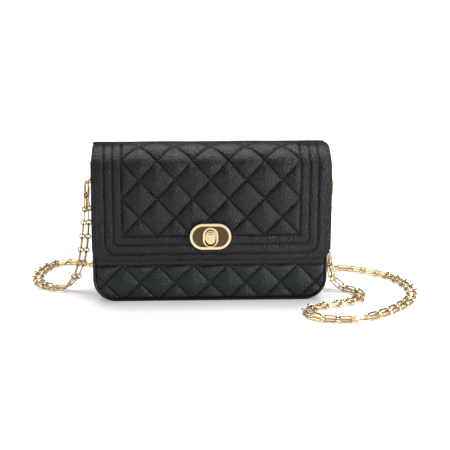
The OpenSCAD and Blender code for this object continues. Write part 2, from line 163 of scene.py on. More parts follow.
def pillow(x, s, pitch, puff):
    """Height of the padded diamonds; puff is the height at their middles."""
    to_p, to_q, along_p, along_q = lattice(x, s, pitch)

    def swell(d):
        # a tight crease at each seam, then a slow swell to the middle
        return 0.42 * rise(d, 0.6) + 0.58 * rise(d, 3.8)

    nearest = np.minimum(to_p, to_q)
    h = puff * swell(to_p) * swell(to_q) * 1.02
    h *= 0.84 + 0.22 * ease(nearest / 9.5)
    # leather gathers in short creases across each seam
    shift = 3 * wob(x * 2.2, s * 2.2)
    for to, along in ((to_p, along_p), (to_q, along_q)):
        h += 0.10 * np.exp(-np.abs(to - 1.1) / 1.4) * np.sin(along * 2.1 + shift)
    h += 0.09 * wob(x * 1.7, s * 1.9) * ease(nearest / 5)
    return h


# ---------------------------------------------------------------- materials
def add_node(tree, kind, inputs, **settings):
    """Add a shader node; an input is given a socket to link from, or a plain value."""
    node = tree.nodes.new("ShaderNode" + kind)
    for key, value in settings.items():
        setattr(node, key, value)
    set_inputs(tree, node, inputs)
    return node


def set_inputs(tree, node, inputs):
    for key, value in inputs.items():
        if isinstance(value, bpy.types.NodeSocket):
            tree.links.new(value, node.inputs[key])
        else:
            node.inputs[key].default_value = value


def new_material(name):
    material = bpy.data.materials.new(name)
    material.use_nodes = True
    return material, material.node_tree, material.node_tree.nodes["Principled BSDF"]


def object_coords(tree):
    return add_node(tree, "TexCoord", {}).outputs["Object"]


def noise(tree, vector, scale, detail=2):
    return add_node(tree, "TexNoise", {"Scale": scale, "Detail": detail, "Vector": vector})


def stretch(tree, vector, scale):
    return add_node(tree, "Mapping", {"Scale": scale, "Vector": vector}).outputs["Vector"]


def remap(tree, value, from_range=(0, 1), to_range=(0, 1)):
    return add_node(tree, "MapRange", {
        "From Min": from_range[0], "From Max": from_range[1],
        "To Min": to_range[0], "To Max": to_range[1], "Value": value}).outputs["Result"]


def mix_colour(tree, factor, a, b):
    return add_node(tree, "Mix", {"Factor": factor, "A": a, "B": b},
                    data_type="RGBA").outputs["Result"]


def bump(tree, height, distance, strength):
    """distance in metres"""
    return add_node(tree, "Bump", {"Distance": distance, "Strength": strength,
                                   "Height": height}).outputs["Normal"]


def shade(colour, factor):
    return (*[c * factor for c in colour], 1)


def leather(name, colour, roughness, cell, depth, fine=1.0, specular=0.36, tint=(1, 1, 1)):
    """Pebbled leather, with painted shade from the seam attribute: darker and less glossy in the
    creases and at the edges.

    cell: pebble size, mm; depth: grain relief, mm; fine: strength of the finest grain.
    """
    material, tree, shader = new_material(name)
    coords = object_coords(tree)
    # pebbles: cells whose outlines are warped by up to about 1 mm
    warp = noise(tree, coords, scale=260)
    warped = add_node(tree, "VectorMath", {0: warp.outputs["Color"], 1: (0.0011,) * 3, 2: coords},
                      operation="MULTIPLY_ADD")
    pebbles = add_node(tree, "TexVoronoi", {
        "Scale": 1000.0 / cell, "Smoothness": 0.35, "Vector": warped.outputs[0],
    }, feature="SMOOTH_F1").outputs["Distance"]
    patches = noise(tree, coords, scale=24, detail=3).outputs["Fac"]
    grain = noise(tree, coords, scale=2600).outputs["Fac"]
    domes = add_node(tree, "Math", {0: pebbles, 1: -1.0}, operation="MULTIPLY")
    relief = add_node(tree, "Math", {0: grain, 1: 0.16 * fine, 2: domes.outputs[0]},
                      operation="MULTIPLY_ADD")
    # painted light and shade: the pebble tops are lighter and the gaps between them darker
    height = remap(tree, pebbles, from_range=(0.75, 0.1))
    surface = mix_colour(tree, height, shade(colour, 0.62), shade(colour, 1.25))
    seam = add_node(tree, "Attribute", {}, attribute_name="seam").outputs["Fac"]
    set_inputs(tree, shader, {
        "Normal": bump(tree, relief.outputs[0], distance=depth / 1000.0, strength=0.9),
        "Roughness": remap(tree, patches, from_range=(0.3, 0.7),
                           to_range=(roughness - 0.07, roughness + 0.09)),
        # painted shade: towards seam = 1 the colour goes almost black and the specular drops
        "Base Color": mix_colour(tree, seam, surface, (0.0012, 0.0012, 0.0014, 1)),
        "Specular IOR Level": remap(tree, seam, to_range=(specular, 0.02)),
        "Specular Tint": (*tint, 1)})
    return material


def cloth(name, colour, pitch, roughness=0.85, depth=0.08):
    """Woven cloth; pitch: thread spacing, depth: weave relief, both mm."""
    material, tree, shader = new_material(name)
    coords = object_coords(tree)
    across, along = [
        add_node(tree, "TexWave", {
            # turns per metre, through a rounded 2 pi
            "Scale": 1000.0 / pitch / 6.2832 * 2, "Distortion": 0.6, "Detail": 1,
            "Vector": coords,
        }, wave_type="BANDS", bands_direction=axis).outputs["Fac"] for axis in "XZ"]
    weave = add_node(tree, "Math", {0: across, 1: along}, operation="ADD")
    set_inputs(tree, shader, {
        "Normal": bump(tree, weave.outputs[0], distance=depth / 1000.0, strength=0.8),
        "Base Color": mix_colour(tree, across, shade(colour, 0.6), shade(colour, 1.2)),
        "Roughness": roughness})
    return material


def gilt(name, colour, roughness, brushed=False):
    """Gilt metal; brushed draws its marks out along x."""
    material, tree, shader = new_material(name)
    scale = (0.06, 1.0, 3.0) if brushed else (1.0, 1.0, 1.0)
    marks = noise(tree, stretch(tree, object_coords(tree), scale),
                  scale=380, detail=5).outputs["Fac"]
    bright = (*[min(1, c * 1.07) for c in colour], 1)
    relief = 0.00004 if brushed else 0.000015
    set_inputs(tree, shader, {
        "Metallic": 1.0,
        "Roughness": remap(tree, marks, from_range=(0.3, 0.75),
                           to_range=(roughness * 0.7, roughness * 1.5 + 0.02)),
        "Base Color": mix_colour(tree, marks, shade(colour, 0.86), bright),
        "Normal": bump(tree, marks, distance=relief, strength=0.5)})
    return material


def plate_gilt():
    """Polished rim and collar round a brushed recess, darkened as painted shade."""
    material = gilt("lock_plate_gilt", colour=(0.83, 0.67, 0.42), roughness=0.13)
    tree = material.node_tree
    shader = tree.nodes["Principled BSDF"]
    coords = object_coords(tree)
    y = add_node(tree, "SeparateXYZ", {0: coords}).outputs["Y"]
    recess = remap(tree, y, from_range=(-0.02795, -0.02775))    # recess floor, metres
    marks = noise(tree, stretch(tree, coords, (0.05, 1.0, 2.0)), scale=900).outputs["Fac"]
    # painted shade in the recess: a dark brown-gold, streaked by the brush marks
    painted_recess_shade = mix_colour(tree, marks, (0.075, 0.05, 0.024, 1), (0.15, 0.105, 0.05, 1))
    rim_colour, rim_roughness = [shader.inputs[key].links[0].from_socket
                                 for key in ("Base Color", "Roughness")]
    roughness = add_node(tree, "Mix", {"Factor": recess, "A": rim_roughness, "B": 0.42})
    set_inputs(tree, shader, {"Base Color": mix_colour(tree, recess, rim_colour, painted_recess_shade),
                              "Roughness": roughness.outputs["Result"]})
    return material


QUILT_LEATHER = leather("quilted_leather", colour=(0.0046, 0.0048, 0.0060), roughness=0.34,
                        cell=1.0, depth=0.52, fine=1.2, specular=0.35, tint=(0.94, 0.965, 1.0))
BODY_LEATHER = leather("body_leather", colour=(0.0084, 0.0102, 0.0108), roughness=0.37,
                       cell=1.1, depth=0.48, fine=1.2, specular=0.38, tint=(0.92, 0.985, 1.0))
EDGE_LEATHER = leather("edge_leather", colour=(0.0050, 0.0050, 0.0058), roughness=0.36,
                       cell=0.8, depth=0.10)
GUSSET_LEATHER = leather("gusset_leather", colour=(0.0085, 0.0088, 0.0100), roughness=0.38,
                         cell=1.1, depth=0.36)
BOARD = leather("leatherboard", colour=(0.26, 0.19, 0.12), roughness=0.8, cell=0.6, depth=0.06)
LINING = cloth("lining_cloth", colour=(0.040, 0.034, 0.032), pitch=0.55)
ZIP_TAPE = cloth("zip_tape", colour=(0.014, 0.014, 0.016), pitch=0.5)
THREAD = cloth("thread", colour=(0.0065, 0.0065, 0.0075), pitch=0.4, roughness=0.55, depth=0.05)
# a spare: no piece wears it
leather("foam", colour=(0.7, 0.68, 0.62), roughness=0.9, cell=0.5, depth=0.1)
POLISHED_GILT = gilt("polished_gilt", colour=(0.79, 0.60, 0.34), roughness=0.12)
BRUSHED_GILT = gilt("brushed_gilt", colour=(0.66, 0.49, 0.26), roughness=0.30, brushed=True)
PLATE_GILT = plate_gilt()


# ---------------------------------------------------------------- mesh tools
def add_to_scene(name, data):
    ob = bpy.data.objects.new(name, data)
    bpy.context.scene.collection.objects.link(ob)
    return ob


def make_object(name, verts, faces, material, seam=None):
    """A smooth-shaded object from millimetres; seam, the painted shade mask, covers the first
    vertices.
    """
    data = bpy.data.meshes.new(name)
    metres = np.asarray(verts, dtype=float) / 1000.0
    data.from_pydata([tuple(v) for v in metres], [], [tuple(int(i) for i in f) for f in faces])
    data.update()
    ob = add_to_scene(name, data)
    data.materials.append(material)
    data.polygons.foreach_set("use_smooth", [True] * len(data.polygons))
    if seam is not None:
        values = np.zeros(len(data.vertices), dtype=np.float32)
        values[:seam.size] = seam.reshape(-1)
        data.attributes.new("seam", "FLOAT", "POINT").data.foreach_set("value", values)
    return ob


def sheet(outer, inner, keep=None):
    """Verts and faces of a closed sheet between two (rows, cols, 3) grids.

    keep says which cells stay, and so leaves holes.
    """
    rows, cols, _ = outer.shape
    verts = np.concatenate([outer.reshape(-1, 3), inner.reshape(-1, 3)])
    n = rows * cols
    faces = []
    for i in range(rows - 1):
        for j in range(cols - 1):
            if keep is not None and not keep[i, j]:
                continue
            a, b = i * cols + j, i * cols + j + 1
            c, d = b + cols, a + cols
            faces.append((a, b, c, d))
            faces.append((n + d, n + c, n + b, n + a))
    for j in range(cols - 1):
        for i in (0, rows - 1):
            a, b = i * cols + j, i * cols + j + 1
            faces.append((a, n + a, n + b, b) if i == 0 else (b, n + b, n + a, a))
    for i in range(rows - 1):
        for j in (0, cols - 1):
            a, b = i * cols + j, (i + 1) * cols + j
            faces.append((b, n + b, n + a, a) if j == 0 else (a, n + a, n + b, b))
    return verts, faces


def flipped(faces):
    return [tuple(reversed(f)) for f in faces]


def cell_centres(grid):
    return (grid[:-1, :-1] + grid[1:, 1:]) / 2


def ring_faces(rings, sides, start=0):
    """Side faces that join successive rings of vertices."""
    faces = []
    for i in range(rings - 1):
        a = start + i * sides
        for k in range(sides):
            k2 = (k + 1) % sides
            faces.append((a + k, a + k2, a + sides + k2, a + sides + k))
    return faces


def tube(name, path, radius, material, up=(0, 1, 0), sides=14, squash=1.0):
    """A slightly uneven tube along a path; squash scales it along up."""
    points = [Vector(p) for p in path]
    count = len(points)
    verts = []
    up = Vector(up)
    for i, point in enumerate(points):
        along = (points[min(i + 1, count - 1)] - points[max(i - 1, 0)]).normalized()
        side = up.cross(along).normalized()
        r = radius * (1 + 0.03 * math.sin(i * 0.9) * math.sin(i * 0.37 + 1))
        for k in range(sides):
            a = 2 * math.pi * k / sides
            verts.append(tuple(point + side * (r * math.cos(a)) + up * (r * squash * math.sin(a))))
    faces = ring_faces(count, sides)
    faces.append(tuple(range(sides)))
    faces.append(tuple((count - 1) * sides + k for k in reversed(range(sides))))
    return make_object(name, verts, faces, material)


# ---------------------------------------------------------------- stitching
def stitch(line, place, pitch=STITCH_PITCH):
    """Stitches (start, end, up) along a line in a piece's own flat coordinates.

    place(u, v) gives the point and the normal there.
    """
    line = np.asarray(line, float)
    run = np.concatenate([[0], np.cumsum(np.hypot(*np.diff(line, axis=0).T))])
    if run[-1] < pitch:
        return []
    count = max(1, int(round(run[-1] / pitch)))
    step = run[-1] / count
    stitches = []
    for k in range(count):
        start = (k + 0.5) * step - STITCH_LENGTH / 2
        (a, normal_a), (b, normal_b) = [
            place(*[np.interp(at, run, line[:, i]) for i in (0, 1)])
            for at in (start, start + STITCH_LENGTH)]
        stitches.append((a, b, Vector(normal_a) + Vector(normal_b)))
    return stitches


def stitching(name, stitches):
    """One object of short, flattened capsules."""
    # place along the stitch, thickness there
    profile = [(0.0, 0.25), (0.12, 0.8), (0.35, 1.0), (0.65, 1.0), (0.88, 0.8), (1.0, 0.25)]
    sides = THREAD_SIDES
    angles = [2 * math.pi * k / sides for k in range(sides)]
    circle = [(math.cos(a), math.sin(a)) for a in angles]
    verts, faces = [], []
    for a, b, up in stitches:
        a, b, up = Vector(a), Vector(b), Vector(up).normalized()
        along = b - a
        side = along.cross(up).normalized()
        base = len(verts)
        for t, thick in profile:
            centre = a + along * t + up * (-THREAD_SAG * (2 * t - 1) ** 2)
            for c, s in circle:
                verts.append(tuple(centre + side * (c * THREAD_R * thick)
                                   + up * (s * THREAD_R * thick * THREAD_FLAT)))
        faces += ring_faces(len(profile), sides, base)
        faces.append(tuple(base + k for k in reversed(range(sides))))
        faces.append(tuple(base + (len(profile) - 1) * sides + k for k in range(sides)))
    return make_object(name, verts, faces, THREAD)


def runs(points, keep, least):
    """Unbroken stretches of kept points that have more than `least` points."""
    found, current = [], []
    for point, kept in zip([*points, None], [*keep, False]):
        if kept:
            current.append(point)
            continue
        if len(current) > least:
            found.append(current)
        current = []
    return found


def diagonal_seams(count, s, pitch):
    """The x values, at each s, of the diagonals that start at -count to count."""
    for k in range(-count, count + 1):
        for sign in (1, -1):
            yield (k + 0.5) * QUILT_X - sign * s * QUILT_X / pitch


# ---------------------------------------------------------------- the flap
def flap_frame(s):
    """Valley surface of the flap at arc length s: y, z and the outward normal's y, z."""
    angle = np.clip((s - S_FRONT) / BEND_R, 0, math.pi / 2)
    y = np.where(s <= S_FRONT, FRONT_Y, BEND_Y - BEND_R * np.cos(angle))
    z = np.where(s <= S_FRONT, WINDOW_Z + s, BEND_Z + BEND_R * np.sin(angle))
    over = np.maximum(s - S_BEND, 0)
    # the top sinks towards the back
    return y + over, z - 0.012 * over ** 1.5, -np.cos(angle), np.sin(angle)


def flap_surface(x, s, height):
    """Points at a height over the valley surface."""
    y, z, normal_y, normal_z = flap_frame(s)
    return np.stack([x, y + normal_y * height, z + normal_z * height], -1)


def skew(x):
    """Both side edges of the flap sit 1 mm towards +x."""
    return x + 1.0 * (x / FLAP_HALF) ** 2


def flap_half_width(s):
    z = WINDOW_Z + s
    half = FLAP_HALF - 1.0 * ease((s - S_FRONT) / 22) - 0.35 * ease((z - 60) / 45)
    return u_half_width(z, half, FLAP_LOW, FLAP_CORNER)


def plate_distance(x, z):
    """Signed distance to the lock plate's outline, negative inside."""
    straight = PLATE_HALF - PLATE_END
    return np.hypot(np.maximum(np.abs(x) - straight, 0), z - LOCK_Z) - PLATE_END


def flap_edge_distance(x, z):
    """Distance in from the flap's outline."""
    return -u_distance(x, np.minimum(z, 300), FLAP_HALF, FLAP_LOW, FLAP_CORNER)


def frame_seam_distances(x, z):
    """Distance to the nearest framing seam, to the window's outline, and if inside it."""
    signed = [u_distance(x, z, *seam) for seam in FRAME_SEAMS]
    first, second, window = [np.abs(d) for d in signed]
    return np.minimum(np.minimum(first, second), window), window, signed[2] < 0


def flap_height(x, s):
    """Height of the leather over the valley surface."""
    z = WINDOW_Z + s
    near, to_window, inside = frame_seam_distances(x, z)
    # quilting, flatter towards the back of the top
    fade = 1 - 0.45 * ease((s - S_BEND - 4) / 12)
    border = 0.5 * rise(to_window, 0.7) + 0.5 * rise(to_window, 3.0)
    quilt = pillow(x, s, FLAP_PITCH, 2.5) * border * fade
    # framing bands, with creases across them
    band = 0.95 * (0.6 * rise(near, 0.6) + 0.4 * rise(near, 2.2))
    band = band * (1 - 0.25 * ease((near - 2.2) / 3))
    along = np.where(np.abs(x) - 72 > WINDOW_Z - z, z, x)
    band += 0.07 * np.exp(-np.abs(near - 1.0) / 1.2) * np.sin(along * 2.05 + 2 * wob(x * 2, z * 2))
    band += 0.08 * wob(x * 1.4, z * 1.6)
    h = np.where(inside, quilt, band)
    # turned edge: rounds over, with a topstitched groove just inside
    edge = flap_edge_distance(x, z)
    h = h - 0.22 * np.exp(-((edge - 1.9) / 0.55) ** 2)
    h = h - 1.15 * (1 - np.sqrt(1 - (1 - np.clip(edge / 1.3, 0, 1)) ** 2))
    # the padding thins towards the side edges where the flap turns over the top
    h = h - 0.9 * ease((z - 96) / 14) * (1 - ease(edge / 7.0))
    # held flat under the lock plate
    free = ease((plate_distance(x, z) + 0.2) / 5.5)
    return h * free + 0.82 * (1 - free)


def flap_painted_shade(x, s):
    """Painted shade: near 1 in a stitched crease or at the edge, fading to 0 on the open leather.
    """
    z = WINDOW_Z + s
    near, to_window, inside = frame_seam_distances(x, z)
    to_p, to_q, _, _ = lattice(x, s, FLAP_PITCH)
    d = np.where(inside, np.minimum(np.minimum(to_p, to_q), to_window), near)
    crease = 0.92 * np.exp(-(d / 0.75) ** 1.3) * np.where(plate_distance(x, z) > -1, 1, 0)
    edge = flap_edge_distance(x, z)
    return np.maximum(crease, 0.9 * np.exp(-np.maximum(edge, 0) / 0.8))


def flap_place(x, s):
    """Where a stitch point of the flap lies, and its normal."""
    point = flap_surface(skew(x), s, flap_height(x, s) + THREAD_LIFT)
    _, _, normal_y, normal_z = flap_frame(s)
    return point.tolist(), (0.0, float(normal_y), float(normal_z))


def flap_u_line(half, low, radius, corner_count=12):
    """A U seam in the flap's x, s coordinates, with points about 1 mm apart."""
    top = S_END - 0.8
    angles = [math.pi / 2 * i / corner_count for i in range(corner_count + 1)]
    corners = [(-half, top), (-half, low + radius - WINDOW_Z)]
    corners += [(-half + radius - radius * math.cos(a),
                 low + radius - radius * math.sin(a) - WINDOW_Z) for a in angles]
    corners += [(half - radius + radius * math.sin(a),
                 low + radius - radius * math.cos(a) - WINDOW_Z) for a in angles]
    corners.append((half, top))
    line = []
    for a, b in zip(corners[:-1], corners[1:]):
        count = max(1, int(math.hypot(b[0] - a[0], b[1] - a[1])))
        for i in range(count):
            line.append((a[0] + (b[0] - a[0]) * i / count, a[1] + (b[1] - a[1]) * i / count))
    line.append(corners[-1])
    return np.array(line)


def flap_stitches():
    stitches = []
    s = np.linspace(0, 1, 500) * S_END
    for x in diagonal_seams(8, s, FLAP_PITCH):
        keep = ((np.abs(x) < WINDOW_HALF - 0.4) & (s > 0.4) & (s < S_END - 1.2)
                & (plate_distance(x, WINDOW_Z + s) > PLATE_CLEAR))
        for run in runs(np.column_stack([x, s]), keep, 3):
            stitches += stitch(run, flap_place)
    for seam in FRAME_SEAMS:
        line = flap_u_line(*seam)
        keep = plate_distance(line[:, 0], WINDOW_Z + line[:, 1]) > PLATE_CLEAR
        for run in runs(line, keep, 3):
            stitches += stitch(run, flap_place)
    hem = flap_u_line(FLAP_HALF - HEM, FLAP_LOW + HEM, FLAP_CORNER - HEM)
    return stitches + stitch(hem, flap_place, pitch=2.9)


def build_flap():
    rows = np.concatenate([corner_rows(S_LOW, FLAP_CORNER, 17),
                           np.arange(S_LOW + FLAP_CORNER + ROW, S_END - 0.2, ROW), [S_END]])
    # columns as fractions of the half width, finer next to the side edges
    cols = np.linspace(-1, 1, 325)
    edge = 1 - np.array([0.0, 0.0025, 0.0055, 0.009, 0.013, 0.018])
    cols = np.concatenate([-edge, cols[np.abs(cols) < 0.979], edge[::-1]])
    s, across = np.meshgrid(rows, cols, indexing="ij")
    x = across * flap_half_width(s)
    outer = flap_surface(skew(x), s, flap_height(x, s) + 0.25 * wob(x * 0.5, s * 0.6))
    inner = flap_surface(skew(x) * 0.9985, s, FLAP_INNER)
    x_mid, z_mid = cell_centres(x), WINDOW_Z + cell_centres(s)
    hole = (np.abs(x_mid) < 5.5) & (z_mid < LOCK_Z + 6.9) & (z_mid > LOCK_Z - 9.4)
    flap = make_object("flap_quilted_leather", *sheet(outer, inner, ~hole), QUILT_LEATHER,
                       seam=flap_painted_shade(x, s))

    # cloth underside, on every third row and column
    some = np.ix_(*[[*range(0, len(line) - 1, 3), len(line) - 1] for line in (rows, cols)])
    near_face, far_face = [flap_surface(skew(x) * 0.992, s, FLAP_INNER - depth)[some]
                           for depth in (0.06, 0.75)]
    mid = cell_centres(near_face)
    x_mid, y_mid, z_mid = mid[..., 0], mid[..., 1], mid[..., 2]
    hole = (np.abs(x_mid) < 5.7) & (z_mid < LOCK_Z + 7) & (z_mid > LOCK_Z - 10) & (y_mid < -20)
    lining = make_object("flap_cloth_lining", *sheet(near_face, far_face, ~hole), LINING)

    thread = stitching("flap_stitching", flap_stitches())
    for ob in (flap, lining, thread):
        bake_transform(ob)
    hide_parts("flap_top_leather", "flap_front_leather", "flap_front_padding",
                "flap_top_board", "flap_front_board")
    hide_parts("flap_top_lining", "flap_front_lining")


# ---------------------------------------------------------------- body panels
def build_panel(name, side, valley_y, top, quilt_top, puff):
    """A body panel, quilted below quilt_top and flat above; side is -1 front, 1 back."""
    def edge_distance(x, z):
        return -u_distance(x, z, BODY_HALF + 0.2, BODY_LOW - 0.2, BODY_CORNER)

    def height(x, z, uneven=0.0):
        edge, to_line = edge_distance(x, z), np.abs(z - quilt_top)
        quilt = pillow(x, z - PANEL_QUILT_Z, PANEL_PITCH, puff) * rise(to_line, 1.6)
        flat = 0.35 * rise(to_line, 1.2) + uneven * wob(x * 0.8, z * 0.8)
        h = np.where(z < quilt_top, quilt, flat)
        return h * rise(edge, 1.5) - 0.35 * np.exp(-edge / 0.8)

    def place(x, z):
        return (x, side * (valley_y + float(height(x, z)) + THREAD_LIFT), z), (0, side, 0)

    rows = list(corner_rows(BODY_LOW, BODY_CORNER, 22))
    z = rows[-1]
    while z < top - 0.35:
        z += ROW if z < quilt_top + 3 else 1.6
        rows.append(min(z, top))
    z, across = np.meshgrid(rows, np.linspace(-1, 1, 311), indexing="ij")
    x = across * u_half_width(z, BODY_HALF + 0.15, BODY_LOW, BODY_CORNER)
    outer = np.stack([x, side * (valley_y + height(x, z, uneven=0.12)), z], -1)
    inner = np.stack([x, np.full_like(x, side * PANEL_INNER_Y), z], -1)
    verts, faces = sheet(outer, inner)
    if side > 0:
        faces = flipped(faces)

    # painted shade: darker in the quilting creases, along the quilting's top line and at the
    # panel's edge
    to_p, to_q, _, _ = lattice(x, z - PANEL_QUILT_Z, PANEL_PITCH)
    to_line = np.abs(z - quilt_top)
    d = np.where(z < quilt_top, np.minimum(np.minimum(to_p, to_q), to_line), to_line)
    seam = np.maximum(0.88 * np.exp(-(d / 0.62) ** 1.3), 0.8 * np.exp(-edge_distance(x, z) / 0.7))
    panel = make_object(name, verts, faces, BODY_LEATHER, seam=seam)

    stitches = []
    z = np.linspace(BODY_LOW + 0.8, min(quilt_top - 0.6, top - 1.2), 400)
    for x in diagonal_seams(12, z - PANEL_QUILT_Z, PANEL_PITCH):
        keep = u_distance(x, z, BODY_HALF, BODY_LOW, BODY_CORNER) < -0.9
        for run in runs(np.column_stack([x, z]), keep, 6):
            stitches += stitch(run, place)
    if quilt_top < top - 5:
        line = [(x, quilt_top) for x in np.arange(-BODY_HALF + 1.4, BODY_HALF - 1.3, 1.0)]
        stitches += stitch(line, place)
    return panel, stitching(name + "_stitching", stitches)


def build_panels():
    front, front_thread = build_panel("front_quilted_panel", side=-1, valley_y=20.6, top=MOUTH,
                                      quilt_top=PANEL_QUILT_Z, puff=2.3)
    # the back's quilt_top is above its top, so it is quilted all over
    back, back_thread = build_panel("back_quilted_panel", side=1, valley_y=20.45, top=121.5,
                                    quilt_top=130.0, puff=1.35)
    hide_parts("front_panel", "front_padding")
    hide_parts("back_panel")
    for ob in (front, front_thread, back, back_thread):
        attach(ob, "case")


# ---------------------------------------------------------------- gusset, lining, zip tapes
def u_band(name, material, path, top, half_depth, thick, bulge, uneven, cols):
    """A band bent into a U, with eyelet holes; bulge moves its middle line inward."""
    y = np.linspace(-half_depth, half_depth, cols)[None, :] * np.ones((len(path), 1))
    x, z, normal_x, normal_z = [path[:, i][:, None] * np.ones_like(y) for i in range(4)]
    middle = 1 - (y / half_depth) ** 2
    up_side = ease((z - 12) / 30) * ease((top - z) / 14 + 0.15)
    offset = (-bulge * middle * up_side
              + uneven * wob(z * 1.1 + x * 0.7, y * 2.0) * ease(z / 8))
    # nothing stands out below the flat base
    offset = np.where(np.abs(normal_z) > 0.97, np.minimum(offset, 0), offset)
    outer, inner = [np.stack([x + normal_x * o, y, z + normal_z * o], -1)
                    for o in (offset, offset - thick)]
    from_eyelet = np.hypot(cell_centres(y) - EYELET_Y, cell_centres(z) - EYELET_Z)
    hole = (from_eyelet < EYELET_HOLE_R) & (np.abs(x[:-1, :-1]) > 60)
    return make_object(name, *sheet(outer, inner, ~hole), material)


def build_gusset():
    path = u_path(BODY_HALF + 1.0, 0.05, BODY_CORNER + 1, MOUTH, step=0.8)
    gusset = u_band("gusset_leather_band", GUSSET_LEATHER, path, top=MOUTH, half_depth=19.6,
                    thick=1.55, bulge=0.5, uneven=0.1, cols=79)
    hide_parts("gusset")
    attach(gusset, "case")


def cloth_wall(name, y, thick, half, low, top, radius, ripple, seed=0.0):
    """An upright cloth; its thickness and ripples go towards y = 0."""
    rows = np.concatenate([corner_rows(low, radius, 10), np.linspace(low + radius + 1, top, 60)])
    z, across = np.meshgrid(rows, np.linspace(-1, 1, 120), indexing="ij")
    x = across * u_half_width(z, half, low, radius)
    wave = np.abs(ripple * wob(x * 1.3 + seed, z * 1.1) * ease((z - low) / 10)) * 0.6
    inward = 1 if y < 0 else -1
    faces_of_cloth = [np.stack([x, y + inward * (t + wave), z], -1) for t in (0, thick)]
    return make_object(name, *sheet(*faces_of_cloth), LINING)


def build_lining():
    top = MOUTH - 1
    path = u_path(92.5, 3.3, BODY_CORNER - 1.5, top, step=0.9)
    band = u_band("lining_side_band", LINING, path, top=top, half_depth=16.9,
                  thick=0.6, bulge=0.25, uneven=0.12, cols=61)
    wall = dict(thick=0.6, half=92.4, low=3.4, top=top, radius=BODY_CORNER - 1.6)
    front = cloth_wall("lining_front_wall", y=-17.0, ripple=0.35, **wall)
    back = cloth_wall("lining_back_wall", y=17.0, ripple=0.3, seed=4.0, **wall)
    pocket = cloth_wall("slip_pocket_cloth", y=-16.1, thick=0.8, half=55, low=22, top=84,
                        radius=1.0, ripple=0.5, seed=9.0)
    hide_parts("lining")
    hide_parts("slip_pocket")
    for ob in (band, front, back, pocket):
        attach(ob, "case")


def build_zip_tapes():
    half_length, width, front_y, back_y = 62, 6.0, 15.42, 16.05
    for node, low in (("zip_tape_upper", 94.2), ("zip_tape_lower", 85.8)):
        x, z = np.meshgrid(np.linspace(-half_length, half_length, 140),
                           np.linspace(low, low + width, 10))
        ripple = np.abs(0.06 * np.sin(x * 1.5) + 0.08 * wob(x * 2, z * 2))
        front = np.stack([x, front_y + ripple, z], -1)
        back = np.stack([x, np.full_like(x, back_y), z], -1)
        ob = make_object(node + "_cloth", *sheet(front, back), ZIP_TAPE)
        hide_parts(node)
        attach(ob, "case")


# ---------------------------------------------------------------- edges
def build_rolled_edges():
    """Rolled edges round the front and back panels."""
    path = u_path(BODY_HALF + 1.2, 1.2, BODY_CORNER + 1.2, MOUTH, step=1.0)
    for side, y in (("front", -20.45), ("back", 20.45)):
        points = [(p[0], y + 0.05 * math.sin(i * 0.21), p[1]) for i, p in enumerate(path)]
        ob = tube(side + "_rolled_edge", points, 1.17, EDGE_LEATHER)
        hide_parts(side + "_piping")
        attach(ob, "case")


def build_mouth_binding():
    """Binding over the mouth's raw edges: up the left end, along the front, down the right."""
    half, z, back_y = 94.3, 118.2, 18.6
    corner_x, corner_y, corner_from_y = 2.4, 2.0, -18.3
    front_y = corner_from_y - corner_y
    angles = [math.pi / 2 * i / 8 for i in range(9)]
    path = [(-half, back_y, z)] + [(-half, y, z) for y in np.linspace(17, -17, 24)]
    path += [(-half + corner_x - corner_x * math.cos(a),
              corner_from_y - corner_y * math.sin(a), z) for a in angles]
    path += [(x, front_y, z + 0.12 * math.sin(x * 0.13)) for x in np.linspace(-90, 90, 90)]
    path += [(half - corner_x + corner_x * math.sin(a),
              corner_from_y - corner_y * math.cos(a), z) for a in angles]
    path += [(half, y, z) for y in np.linspace(-17, back_y, 24)]
    binding = tube("mouth_binding", path, 1.25, EDGE_LEATHER, up=(0, 0, 1), squash=0.9)
    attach(binding, "case")


def build_mouth_facings():
    """Turned leather over the boards' top edges, between the panels and the lining."""
    for name, side in (("front", -1), ("back", 1)):
        path = [(x, side * 18.36, 116.25 + 0.06 * math.sin(x * 0.21 + side))
                for x in np.linspace(-91.6, 91.6, 80)]
        ob = tube("mouth_facing_" + name, path, 1.4, GUSSET_LEATHER, up=(0, 0, 1), squash=0.58)
        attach(ob, "case")


